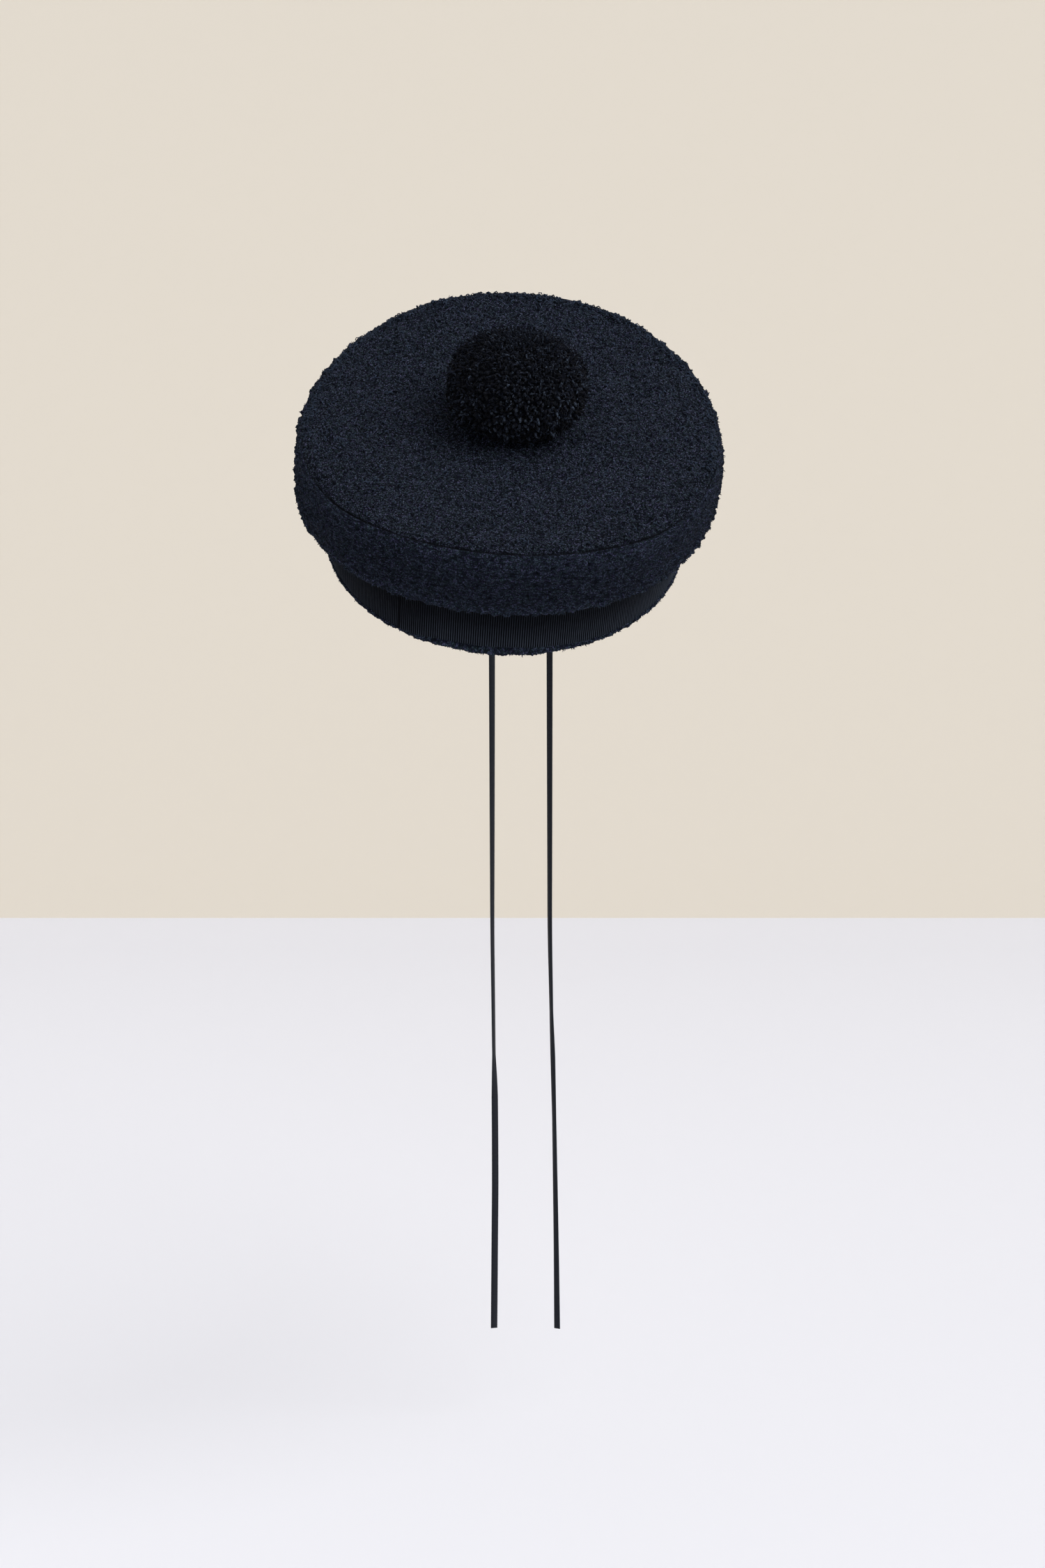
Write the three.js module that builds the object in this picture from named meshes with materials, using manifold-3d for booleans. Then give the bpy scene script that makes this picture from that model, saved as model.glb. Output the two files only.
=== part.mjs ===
// Sailor hat: a wide soft crown of looped tweed over an upright head band, with a
// grosgrain ribbon, a yarn pompom and two narrow ties that hang from the back.
//
// Millimetres, +Z up, +X to the wearer's left, -Y the way the wearer faces.
// The hat is drawn level first: heights run up from the lower edge of the head band,
// an offset is a distance outside the oval of the head band, and an angle runs round
// the head from the wearer's left, so that the front is at -90 degrees. The hat is
// then turned as it is worn, tipped forward over the brow. The origin is the middle
// of the head opening. The ties hang straight down from the raised back of the band.

import * as THREE from 'three';
import { mergeVertices } from 'three/addons/utils/BufferGeometryUtils.js';
import Module from 'manifold-3d';

const wasm = await Module();
wasm.setup();

const DEG = Math.PI / 180;

// ---- driving dimensions -------------------------------------------------------

// The oval of the head band, measured on its outside.
const HALF_WIDTH = 88.5;
const HALF_LENGTH = 105;

// How the hat is worn.
const TIP_FORWARD = 33 * DEG;
const LEAN_SIDEWAYS = 3.9 * DEG;
const TURN = -2.6 * DEG;

// Cloth, and the space between two pieces that are sewn together.
const TWEED = 2;
const GAP = 0.3;
const RING_STEPS = 60;

// Head band, and how much of its nubby lower edge shows below the ribbon.
const BAND_WALL = 2.2;
const BAND_TOP = 31;
const EDGE_BULGE = 1.6;
const EDGE_SHOWN = 2;
const EDGE_SHOWN_FRONT = 4.6;
const EDGE_FRONT_ANGLE = -88 * DEG;
const EDGE_FRONT_SPREAD = 34 * DEG;

// Ribbon round the band: one strip whose end laps over its start.
const RIBBON_THICK = 0.7;
const RIBBON_TOP = 30;
const RIBBON_LAP_ANGLE = -118.5 * DEG;
const RIBBON_LAP = 6 * DEG;
const RIBBON_CLIMB = 8 * DEG;
const RIBBON_STEPS = 72;

// Crown: the seam between top and side rises towards the back and at both ends, the
// oval is a little squarer than the band's, and the rolled lower edge rides higher on
// the wearer's left.
const SEAM_OFFSET = 14.8;
const SEAM_HEIGHT = 67;
const SEAM_BACK_LIFT = 5.5;
const SEAM_ENDS_LIFT = 3.85;
const TOP_MIDDLE = 66;
const ROLL_HEIGHT = 32.5;
const ROLL_OFFSET = 12;
const UNDER_START = 1;
const CORNER_REACH = 1;
const ROLL_RISE = 0.2;
const ROLL_LEFT_RISE = 3;
const ROLL_TWIST_RISE = 1.2;

// Pompom: a ball pressed flat where it sits on the crown.
const POMPOM_HALF_WIDTH = 35;
const POMPOM_HALF_HEIGHT = 26.5;
const POMPOM_SIDEWAYS = 2;
const POMPOM_MIDDLE = 87.5;
const POMPOM_CORE = 0.84;
const LOCK_COUNT = 118;
const LOCK_LENGTH = 16;
const LOCK_WIDTH = 12;

// Ties: flat ribbon sewn inside the back of the band, hanging free.
const TIE_WIDTH = 3.9;
const TIE_THICK = 0.8;
const TIE_APART = 31.3;
const TIE_SEWN = 12;
const TIE_CLEAR = 0.8;
const TIE_PAST_EDGE = 2;
const TIE_BEND_OUT = 3.2;
const TIE_BEND_DOWN = 9;
const TIE_STRAIGHT_OUT = 3.8;
const TIE_STRAIGHT_DOWN = 23;
const TIE_END_HEIGHT = -433;
const TIE_PATH_POINTS = 25;
const TIE_STEPS = 46;

// ---- materials ----------------------------------------------------------------

function cloth(colour, roughness) {
  return new THREE.MeshStandardMaterial({ color: colour, roughness, metalness: 0 });
}

const tweedMaterial = cloth(0x1c212c, 0.95);
const grosgrainMaterial = cloth(0x121419, 0.7);
const yarnMaterial = cloth(0x0f1117, 1);

// ---- the shape of the hat -----------------------------------------------------

// Rise of the crown's seam, by angle: higher at the back, and at both ends than at
// the sides.
function seamLift(angle) {
  return SEAM_BACK_LIFT * Math.sin(angle) - SEAM_ENDS_LIFT * Math.cos(2 * angle);
}

// How far the crown reaches beyond a plain oval, by angle.
function crownReach(angle) {
  return -CORNER_REACH * Math.cos(4 * angle);
}

// Rise of the crown's rolled lower edge, by angle.
function rollLift(angle) {
  return ROLL_RISE + ROLL_LEFT_RISE * Math.cos(angle)
    + ROLL_TWIST_RISE * Math.sin(2 * angle);
}

// Height of the ribbon's lower edge, by angle: a broad band of tweed shows in front.
function ribbonFoot(angle) {
  const away = Math.abs(Math.atan2(
    Math.sin(angle - EDGE_FRONT_ANGLE), Math.cos(angle - EDGE_FRONT_ANGLE)));
  const share = Math.cos(Math.min(away / EDGE_FRONT_SPREAD, 1) * Math.PI / 2);
  return EDGE_SHOWN + (EDGE_SHOWN_FRONT - EDGE_SHOWN) * share;
}

// Moves each vertex of a geometry to the place that move(x, y, z) returns.
function reshape(geometry, move) {
  const position = geometry.attributes.position;
  for (let i = 0; i < position.count; i += 1) {
    position.setXYZ(i, ...move(position.getX(i), position.getY(i), position.getZ(i)));
  }
  return geometry;
}

function onOval(offset, angle, height) {
  return [
    (HALF_WIDTH + offset) * Math.cos(angle),
    (HALF_LENGTH + offset) * Math.sin(angle),
    height,
  ];
}

// A profile of [radius, height] points, given clockwise, spun round the Z axis.
function spin(profile) {
  const points = profile.map(([radius, height]) => new THREE.Vector2(radius, height));
  return new THREE.LatheGeometry(points.reverse(), RING_STEPS).rotateX(Math.PI / 2);
}

// A closed ring round the head. The section is a closed loop of [offset, height]
// points, spun on a true circle and then moved out to the oval. shift(offset, height,
// angle) returns what is added to the offset and to the height there.
function ringRoundHead(section, shift) {
  const loop = [...section, section[0]].map(
    ([offset, height]) => [HALF_WIDTH + offset, height]);
  return reshape(spin(loop), (x, y, z) => {
    const angle = Math.atan2(y, x);
    const offset = Math.hypot(x, y) - HALF_WIDTH;
    const [outward, upward] = shift(offset, z, angle);
    return onOval(offset + outward, angle, z + upward);
  });
}

// ---- crown --------------------------------------------------------------------

// The top panel is an oval disc whose rim follows the seam. Its height blends from
// the middle to the seam: a slope towards the back that grows with the distance from
// the middle, and a saddle that grows with its cube and leaves the middle flat.
function crownTop() {
  const rim = HALF_WIDTH + SEAM_OFFSET;
  const mitre = TWEED * 0.7;
  const rows = [
    // share of the way out, part of the cloth's thickness above the underside
    [0, 1], [0.3, 1], [0.6, 1], [0.85, 1], [1, 1],
    [1 - mitre / rim, 0], [0.85, 0], [0.6, 0], [0.3, 0], [0, 0],
  ];
  const profile = rows.map(([share, up]) => [share * rim, (up - 1) * TWEED]);
  return reshape(spin(profile), (x, y, z) => {
    const share = Math.hypot(x, y) / rim;
    const angle = Math.atan2(y, x);
    const slope = SEAM_BACK_LIFT * Math.sin(angle) * share;
    const saddle = (SEAM_HEIGHT - TOP_MIDDLE
      - SEAM_ENDS_LIFT * Math.cos(2 * angle)) * share ** 3;
    const [px, py] = onOval(SEAM_OFFSET + crownReach(angle), angle, 0);
    return [px * share, py * share, TOP_MIDDLE + slope + saddle + z];
  });
}

// The side panel runs from the seam down over a rounded shoulder, rolls over at the
// bottom and turns under to the top of the head band. The inside of the cloth repeats
// the outside one thickness in.
function crownSide() {
  const seam = SEAM_OFFSET + GAP;
  const outside = [
    // offset, height, and which way the inside of the cloth lies from there
    [seam, SEAM_HEIGHT, -0.7, -1],
    [16.3, 63.5, -0.9, -0.4],
    [17.2, 57, -1, -0.1],
    [17.6, 48, -1, 0],
    [17.6, 40, -1, 0.1],
    [17.1, 35.3, -0.9, 0.4],
    [15.6, 32.5, -0.5, 0.9],
    [12.8, 31.4, -0.1, 1],
    [UNDER_START, BAND_TOP + GAP, 0, 1],
    [-BAND_WALL, BAND_TOP + GAP, 0, 1],
  ];
  const inside = outside.map(
    ([offset, height, out, up]) => [offset + out * TWEED, height + up * TWEED]);
  const section = [...outside.map((row) => row.slice(0, 2)), ...inside.reverse()];
  return ringRoundHead(section, (offset, height, angle) => {
    const out = THREE.MathUtils.smoothstep(offset, UNDER_START, ROLL_OFFSET);
    const up = Math.max((height - ROLL_HEIGHT) / (SEAM_HEIGHT - ROLL_HEIGHT), 0);
    return [
      out * crownReach(angle),
      out * (1 - up) * rollLift(angle) + up * seamLift(angle),
    ];
  });
}

// ---- head band and ribbon -----------------------------------------------------

// An upright band of tweed. Its lower edge is a soft fold that swells out below the
// ribbon, and its wall steps back behind the ribbon.
function headBand() {
  const foot = EDGE_SHOWN - GAP;
  const section = [
    [0, BAND_TOP],
    [0, foot],
    [EDGE_BULGE - 0.4, foot - 0.2],
    [EDGE_BULGE, 1.1],
    [EDGE_BULGE - 0.5, 0.4],
    [0, 0],
    [-1.4, 0.3],
    [-BAND_WALL, 1.3],
    [-BAND_WALL, BAND_TOP],
  ];
  return ringRoundHead(section, (offset, height, angle) => {
    const follows = height > 1.3 && height < BAND_TOP ? 1 : 0;
    return [0, follows * (ribbonFoot(angle) - EDGE_SHOWN)];
  });
}

// The ribbon is cut as a flat strip, length along X, thickness along Y and height
// along Z, and wrapped round the band. It starts under its own end, goes once round,
// and climbs over its start.
function ribbonBand() {
  const turn = 2 * Math.PI + RIBBON_LAP;
  const strip = new THREE.BoxGeometry(1, RIBBON_THICK, 1, RIBBON_STEPS, 1, 1);
  return reshape(strip, (x, y, z) => {
    const turned = (0.5 - x) * turn;
    const angle = RIBBON_LAP_ANGLE + turned;
    const climbed = (RIBBON_LAP + RIBBON_CLIMB - turned) / RIBBON_CLIMB;
    const over = THREE.MathUtils.smoothstep(climbed, 0, 1) * (RIBBON_THICK + GAP);
    const foot = ribbonFoot(angle);
    const height = foot + (z + 0.5) * (RIBBON_TOP - foot);
    return onOval(GAP + RIBBON_THICK / 2 + y + over, angle, height);
  });
}

// ---- pompom -------------------------------------------------------------------

function solidFrom(geometry) {
  const bare = geometry.index ? geometry.toNonIndexed() : geometry.clone();
  bare.deleteAttribute('normal');
  bare.deleteAttribute('uv');
  const merged = mergeVertices(bare, 1e-3);
  return new wasm.Manifold(new wasm.Mesh({
    numProp: 3,
    vertProperties: merged.attributes.position.array,
    triVerts: new Uint32Array(merged.index.array),
  }));
}

function geometryFrom(solid) {
  const { vertProperties, triVerts } = solid.getMesh();
  const geometry = new THREE.BufferGeometry();
  geometry.setAttribute('position', new THREE.BufferAttribute(vertProperties, 3));
  geometry.setIndex(new THREE.BufferAttribute(triVerts, 1));
  return geometry;
}

// Stubby round-tipped locks of cut yarn stand on a ball-shaped core, evenly spread by
// the golden angle, each pointing straight out, and all are fused to it. The ball is
// cut flat where it rests on the crown.
function pompom() {
  const size = new THREE.Vector3(
    POMPOM_HALF_WIDTH, POMPOM_HALF_WIDTH, POMPOM_HALF_HEIGHT);
  const seat = TOP_MIDDLE + GAP - POMPOM_MIDDLE;
  const goldenAngle = Math.PI * (3 - Math.sqrt(5));
  const core = new THREE.SphereGeometry(POMPOM_CORE, 18, 12).rotateX(Math.PI / 2)
    .scale(size.x, size.y, size.z);
  let solid = solidFrom(core);
  for (let i = 0; i < LOCK_COUNT; i += 1) {
    const up = 1 - (i + 0.5) * 2 / LOCK_COUNT;
    const round = i * goldenAngle;
    const level = Math.sqrt(1 - up ** 2);
    const tip = new THREE.Vector3(
      level * Math.cos(round), level * Math.sin(round), up).multiply(size);
    if (tip.z > seat) {
      const outward = tip.clone().normalize();
      const lock = new THREE.IcosahedronGeometry(0.5, 0)
        .scale(LOCK_WIDTH, LOCK_LENGTH, LOCK_WIDTH)
        .applyQuaternion(new THREE.Quaternion().setFromUnitVectors(
          THREE.Object3D.DEFAULT_UP, outward))
        .translate(...tip.addScaledVector(outward, -LOCK_LENGTH / 2));
      solid = solid.add(solidFrom(lock));
    }
  }
  const kept = new THREE.BoxGeometry(100, 100, 100).translate(0, 0, seat + 50);
  return geometryFrom(solid.intersect(solidFrom(kept)));
}

// ---- ties ---------------------------------------------------------------------

// Each row gives a height above the origin, the sideways drift there from where the
// tie leaves the band, and how far its flat side has turned from facing forwards.
const TIE_ROWS = {
  left: [
    [40, 0, 0], [-60, 0.1, -30], [-212, 0.3, -54], [-257, 1.2, -64],
    [-281, 2, -50], [-316, 2.8, -58], [-387, 4, -45], [-433, 4.5, -32],
  ],
  right: [
    [40, 0, 0], [-60, 0, 30], [-212, 0.1, 60], [-281, 0.9, 66],
    [-304, 1.4, 24], [-350, 1.6, 18], [-433, 0.9, 20],
  ],
};

// Straight-line reading of one column of a tie's rows at a height.
function tieValue(rows, height, column) {
  if (height >= rows[0][0]) return rows[0][column];
  const next = rows.findIndex((row) => row[0] <= height);
  if (next < 0) return rows.at(-1)[column];
  const [above, below] = [rows[next - 1], rows[next]];
  const share = (above[0] - height) / (above[0] - below[0]);
  return THREE.MathUtils.lerp(above[column], below[column], share);
}

// A tie starts sewn flat to the inside of the band, leaves it at the lower edge, bends
// over and hangs straight down, twisting on its way.
function tie(side, wornHat) {
  const rows = TIE_ROWS[side];
  const across = (side === 'left' ? 1 : -1) * TIE_APART / 2;
  const inside = BAND_WALL + TIE_CLEAR + TIE_THICK / 2;
  const back = (HALF_LENGTH - inside)
    * Math.sqrt(1 - (across / (HALF_WIDTH - inside)) ** 2);
  const place = (height) => new THREE.Vector3(across, back, height)
    .applyMatrix4(wornHat.matrixWorld);
  const leaves = place(-TIE_PAST_EDGE);
  const bends = leaves.clone().add(new THREE.Vector3(0, TIE_BEND_OUT, -TIE_BEND_DOWN));
  const points = [place(TIE_SEWN), place(TIE_SEWN / 2), leaves, bends];
  const straightY = leaves.y + TIE_STRAIGHT_OUT;
  const straightTop = leaves.z - TIE_STRAIGHT_DOWN;
  for (let i = 0; i < TIE_PATH_POINTS; i += 1) {
    const height = THREE.MathUtils.lerp(
      straightTop, TIE_END_HEIGHT, i / (TIE_PATH_POINTS - 1));
    const drift = tieValue(rows, height, 1);
    points.push(new THREE.Vector3(leaves.x + drift, straightY, height));
  }
  const path = new THREE.CatmullRomCurve3(points, false, 'centripetal');
  const section = new THREE.Shape();
  const [w, t] = [TIE_WIDTH / 2, TIE_THICK / 2];
  const corners = [
    [w, 0], [w * 0.96, t * 0.7], [0, t], [-w * 0.96, t * 0.7],
    [-w, 0], [-w * 0.96, -t * 0.7], [0, -t], [w * 0.96, -t * 0.7],
  ];
  section.setFromPoints(corners.map(([x, y]) => new THREE.Vector2(x, y)));
  const swept = new THREE.ExtrudeGeometry(section, {
    steps: TIE_STEPS, bevelEnabled: false, extrudePath: path,
  });
  return reshape(swept, (x, y, z) => {
    if (z > straightTop) return [x, y, z];
    const turned = tieValue(rows, z, 2) * DEG;
    const middleX = leaves.x + tieValue(rows, z, 1);
    const [dx, dy] = [x - middleX, y - straightY];
    return [
      middleX + dx * Math.cos(turned) - dy * Math.sin(turned),
      straightY + dx * Math.sin(turned) + dy * Math.cos(turned),
      z,
    ];
  });
}

// ---- assembly -----------------------------------------------------------------

function piece(name, geometry, material) {
  const mesh = new THREE.Mesh(geometry, material);
  mesh.name = name;
  return mesh;
}

const group = new THREE.Group();

const wornHat = new THREE.Group();
wornHat.rotation.set(TIP_FORWARD, LEAN_SIDEWAYS, TURN, 'YXZ');
wornHat.updateMatrixWorld(true);
group.add(wornHat);

wornHat.add(piece('crown_top', crownTop(), tweedMaterial));
wornHat.add(piece('crown_side', crownSide(), tweedMaterial));
wornHat.add(piece('head_band', headBand(), tweedMaterial));
wornHat.add(piece('ribbon_band', ribbonBand(), grosgrainMaterial));

const yarnBall = piece('pompom', pompom(), yarnMaterial);
yarnBall.position.set(POMPOM_SIDEWAYS, 0, POMPOM_MIDDLE);
yarnBall.rotation.x = Math.atan(SEAM_BACK_LIFT / (HALF_LENGTH + SEAM_OFFSET));
wornHat.add(yarnBall);

for (const side of ['left', 'right']) {
  group.add(piece(`tail_${side}`, tie(side, wornHat), grosgrainMaterial));
}

export default group;
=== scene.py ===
# %% [markdown]
# # A sailor hat in looped tweed
#
# The hat has a wide flat crown of navy boucle tweed, an upright head band with a black
# grosgrain ribbon round it, a pompom of cut yarn and two narrow grosgrain ties that
# hang from the back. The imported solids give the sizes. Here each of them gets a finer
# surface of the same form, because cloth like this is all loops, ribs and yarn ends.
#
# Lengths in the shape code are millimetres, in the hat's own level position: +Z up,
# +X to the wearer's left, and the front at -Y. `worn` then tips the points as the hat
# is worn and turns them into metres.

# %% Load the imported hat
import math

import bpy
import numpy as np
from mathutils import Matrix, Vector


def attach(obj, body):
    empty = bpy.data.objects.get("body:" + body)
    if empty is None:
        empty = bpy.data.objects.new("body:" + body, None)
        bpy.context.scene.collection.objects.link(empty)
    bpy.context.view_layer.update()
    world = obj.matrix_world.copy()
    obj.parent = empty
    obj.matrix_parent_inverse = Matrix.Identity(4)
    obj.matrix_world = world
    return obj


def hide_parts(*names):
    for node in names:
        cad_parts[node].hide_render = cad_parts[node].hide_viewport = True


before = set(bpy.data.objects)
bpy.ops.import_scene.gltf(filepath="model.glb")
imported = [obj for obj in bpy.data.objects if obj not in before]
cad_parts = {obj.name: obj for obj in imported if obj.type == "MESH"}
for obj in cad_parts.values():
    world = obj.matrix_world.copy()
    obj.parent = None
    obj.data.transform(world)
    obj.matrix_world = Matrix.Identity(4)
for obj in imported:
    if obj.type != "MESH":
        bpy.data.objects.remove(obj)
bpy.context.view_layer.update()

# %% [markdown]
# ## Camera
#
# A long lens from a little under the height of the crown, aimed slightly down, shows
# the whole top because the hat itself is tipped forward.

# %% Camera
CAMERA_PLACE, LENS_MM, DIPS = (0.0091, -1.4225, -0.0240), 64, 4.1
camera_data = bpy.data.cameras.new("camera")
camera_data.lens = LENS_MM
camera = bpy.data.objects.new("camera", camera_data)
camera.location = CAMERA_PLACE
camera.rotation_euler = (math.radians(90 - DIPS), 0, 0)
bpy.context.scene.collection.objects.link(camera)
bpy.context.scene.camera = camera
print("Camera stands", round(camera.location.length, 3), "m from the head opening")

# %% [markdown]
# ## Sizes that the whole hat shares
#
# The head band is an oval. Every ring of the hat is given by how far it stands outside
# that oval and how high it is, so a single function can place all of them. The same
# numbers are in the CAD source.

# %% Shared sizes
HALF_WIDTH, HALF_LENGTH = 88.5, 105  # of the head band's oval
TWEED, GAP = 2, 0.3  # thickness of the cloth, air between two layers
SEAM_OFFSET, SEAM_HEIGHT, TOP_MIDDLE = 14.8, 67, 66  # the seam round the crown's top
SEAM_BACK_LIFT, SEAM_ENDS_LIFT = 5.5, 3.85
BAND_WALL, BAND_TOP = 2.2, 31
BACK = np.pi / 2  # every ring of cloth starts at the back
print("Head band round the outside:", round(np.pi * (HALF_WIDTH + HALF_LENGTH)), "mm")

# %% [markdown]
# ## How the hat is worn
#
# It sits tipped forward over the brow, leans a little to one side and is turned a
# little. Three turns, one after the other, make one matrix, so all the cloth can be
# shaped level and tipped at the end.

# %% From level to worn
TIP_FORWARD, LEAN_SIDEWAYS, TURN = np.radians([33, 3.9, -2.6])


def turn_matrix(axis, angle):
    """The 3 x 3 matrix that turns points round one axis: c and s are the angle's cosine
    and sine, and the two other axes mix as c, -s, s, c."""
    i, j = [k for k in range(3) if k != axis]
    if axis == 1:
        i, j = j, i
    matrix = np.eye(3)
    matrix[[i, j, i, j], [i, j, j, i]] = [
        np.cos(angle), np.cos(angle), -np.sin(angle), np.sin(angle)]
    return matrix


WORN = (turn_matrix(1, LEAN_SIDEWAYS) @ turn_matrix(0, TIP_FORWARD)
        @ turn_matrix(2, TURN))


def worn(points):
    """Level millimetres to metres as worn: each point times the turning matrix."""
    return np.asarray(points, float) @ WORN.T / 1000


print("The hat's up direction as worn:", np.round(WORN[:, 2], 3))

# %% [markdown]
# ## Grids and lines
#
# A surface is a grid of points, so it needs the corner numbers of the grid's quads. The
# sections and paths of the hat are smooth lines through a few points. Blender's curves
# could draw them, but numbers at equal steps are what a grid of ribs or loops needs.

# %% Grid of quads
def grid_quads(rows, columns, wrap_rows=False, wrap_columns=False):
    """Quads of a grid whose point (i, j) has the number i * columns + j. Also returns
    each corner's own i and j, not wrapped, for the UV map."""
    i, j = np.meshgrid(np.arange(rows - (not wrap_rows)),
                       np.arange(columns - (not wrap_columns)), indexing="ij")
    ci = np.stack([i, i + 1, i + 1, i], -1).reshape(-1, 4)
    cj = np.stack([j, j, j + 1, j + 1], -1).reshape(-1, 4)
    return (ci % rows) * columns + cj % columns, ci, cj


print("Quads of a 2 x 3 grid:", grid_quads(2, 3)[0].tolist())


# %% Smooth line
def smooth_line(points, spacing, fine=()):
    """A Catmull-Rom line through the points: between two of them it is a cubic whose
    slope at each end is half the step between that point's neighbours. It is then
    resampled at equal steps of length, and at the extra lengths in fine."""
    points = np.asarray(points, float)
    ends = np.vstack([2 * points[0] - points[1], points, 2 * points[-1] - points[-2]])
    t = np.linspace(0, len(points) - 1, 60 * len(points))
    k = np.minimum(t.astype(int), len(points) - 2)
    f = (t - k)[:, None]
    p0, p1, p2, p3 = (ends[k + n] for n in range(4))
    line = 0.5 * (2 * p1 + (p2 - p0) * f + (2 * p0 - 5 * p1 + 4 * p2 - p3) * f**2
                  + (3 * p1 - p0 - 3 * p2 + p3) * f**3)
    length = np.r_[0, np.cumsum(np.linalg.norm(np.diff(line, axis=0), axis=1))]
    at = np.linspace(0, length[-1], max(2, round(length[-1] / spacing) + 1))
    at = np.union1d(at, fine)
    return np.stack([np.interp(at, length, axis) for axis in line.T], -1)


print("Points on a 20 mm line:", len(smooth_line([(0, 0), (12, 0), (20, 0)], 1)))

# %% [markdown]
# ## Putting arrays into a mesh
#
# One function turns the arrays of a piece into a mesh, gives it its material and says
# that it belongs to the hat. It works out the volume that the faces enclose and turns
# them round if that is negative, so that they always point outwards.

# %% Mesh helper
made_triangles = {}


def piece(name, points, face_sets, material, uv=None, values=None):
    """points are metres, face_sets are arrays of corner numbers, uv is one (u, v) for
    each corner and values one number for each point, kept as the attribute "value".
    The signed volume is the sum of a . (b x c) / 6 over the triangles (a, b, c)."""
    triangles = [part[:, [0, k, k + 1]] for part in face_sets
                 for k in range(1, part.shape[1] - 1)]
    a, b, c = points[np.concatenate(triangles)].transpose(1, 0, 2)
    inside_out = np.einsum("ij,ij->i", a, np.cross(b, c)).sum() < 0
    if inside_out:
        face_sets = [part[:, ::-1] for part in face_sets]
    mesh = bpy.data.meshes.new(name)
    mesh.from_pydata(points.tolist(), [],
                     sum((part.tolist() for part in face_sets), []))
    mesh.polygons.foreach_set("use_smooth", np.ones(len(mesh.polygons), bool))
    if uv is not None:
        corners = np.concatenate(
            [(part[:, ::-1] if inside_out else part).reshape(-1, 2) for part in uv])
        layer = mesh.uv_layers.new(name="cloth")
        layer.data.foreach_set("uv", corners.astype(np.float32).ravel())
    if values is not None:
        kept = mesh.attributes.new("value", "FLOAT", "POINT")
        kept.data.foreach_set("value", np.asarray(values, np.float32).ravel())
    mesh.materials.append(material)
    mesh.update()
    made = bpy.data.objects.new(name, mesh)
    bpy.context.scene.collection.objects.link(made)
    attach(made, "root")
    made_triangles[name] = sum(map(len, triangles))
    print(f"{name}: {made_triangles[name]} triangles")
    return made


print("Pieces made so far:", len(made_triangles))

# %% [markdown]
# ## Ties
#
# Two ends of narrow grosgrain hang from the back of the head band. Each is sewn flat
# to the inside of the band, leaves it at the lower edge, bends over and hangs straight
# down, turning a little on its way as a ribbon keeps doing once it has been tied. The
# path comes first, because a hanging ribbon is all path.

# %% Tie path
TIE_WIDTH, TIE_THICK, TIE_RIB = 3.9, 0.7, 0.8
TIE_APART, TIE_SEWN, TIE_INSIDE = 31.3, 12, BAND_WALL + 0.8 + 0.4
TIE_LEAVES, TIE_STANDS_OFF, TIE_BEND, TIE_END_HEIGHT = -2, 3.8, 23, -433
TIE_TURNS = {
    # height, drift to the side, turn in degrees
    "left": [(40, 0, 0), (-60, 0.1, -30), (-212, 0.3, -54), (-257, 1.2, -64),
             (-281, 2, -50), (-316, 2.8, -58), (-387, 4, -45), (-433, 4.5, -32)],
    "right": [(40, 0, 0), (-60, 0, 30), (-212, 0.1, 60), (-281, 0.9, 66),
              (-304, 1.4, 24), (-350, 1.6, 18), (-433, 0.9, 20)],
}


def tie_path(side):
    """In worn millimetres: up the inside of the band, out at its lower edge, over a
    bend, then down in a straight line that drifts a little to the side."""
    across = (1 if side == "left" else -1) * TIE_APART / 2
    back = (HALF_LENGTH - TIE_INSIDE) * math.sqrt(
        1 - (across / (HALF_WIDTH - TIE_INSIDE)) ** 2)
    sewn, middle, leaves = 1000 * worn(
        [[across, back, height] for height in (TIE_SEWN, TIE_SEWN / 2, TIE_LEAVES)])
    heights = np.linspace(leaves[2] - TIE_BEND, TIE_END_HEIGHT, 25)
    drift = np.interp(-heights, *np.array(TIE_TURNS[side]).T[:2] * [[-1], [1]])
    hanging = np.stack([leaves[0] + drift, leaves[1] + TIE_STANDS_OFF + 0 * drift,
                        heights], -1)
    return smooth_line([sewn, middle, leaves, leaves + [0, 3.2, -9], *hanging],
                       TIE_RIB / 2)


for side in TIE_TURNS:
    steps = np.diff(tie_path(side), axis=0)
    print(side, "tie:", round(np.linalg.norm(steps, axis=1).sum()), "mm long")

# %% [markdown]
# ## Shape of a tie
#
# A bevelled curve would give the ribbon, but not its ribs. Here a flat section with
# eight corners is carried along the path, with stations close enough for every rib to
# notch both edges.

# %% Tie surface
SECTION = np.array([(1, 0), (0.9, 1), (0, 0.9), (-0.9, 1), (-1, 0), (-0.9, -1),
                    (0, -0.9), (0.9, -1)])


def tie_surface(side):
    """Points middle + a w across + b t out, where (a, b) runs round the section, w and
    t are half the width and thickness, and across is X turned about the vertical and
    made square to the path. Ribs widen and thicken every second station."""
    middle = tie_path(side)
    turn = np.radians(np.interp(-middle[:, 2], *np.array(TIE_TURNS[side]).T[[0, 2]]
                                * [[-1], [1]]))
    ahead = np.gradient(middle, axis=0)
    ahead /= np.linalg.norm(ahead, axis=1, keepdims=True)
    across = np.stack([np.cos(turn), np.sin(turn), 0 * turn], -1)
    across -= (across * ahead).sum(1, keepdims=True) * ahead
    across /= np.linalg.norm(across, axis=1, keepdims=True)
    out = np.cross(ahead, across)
    crest = np.arange(len(middle)) % 2
    half_width = (TIE_WIDTH / 2 * (0.96 + 0.04 * crest))[:, None]
    half_thick = (TIE_THICK / 2 * (0.6 + 0.4 * crest))[:, None]
    a, b = SECTION[:, :1, None], SECTION[:, 1:, None]
    points = middle + a * half_width * across + b * half_thick * out
    return middle, points.transpose(1, 0, 2), np.repeat(crest, len(SECTION))


print("Points on the left tie:", tie_surface("left")[1].shape)

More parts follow.
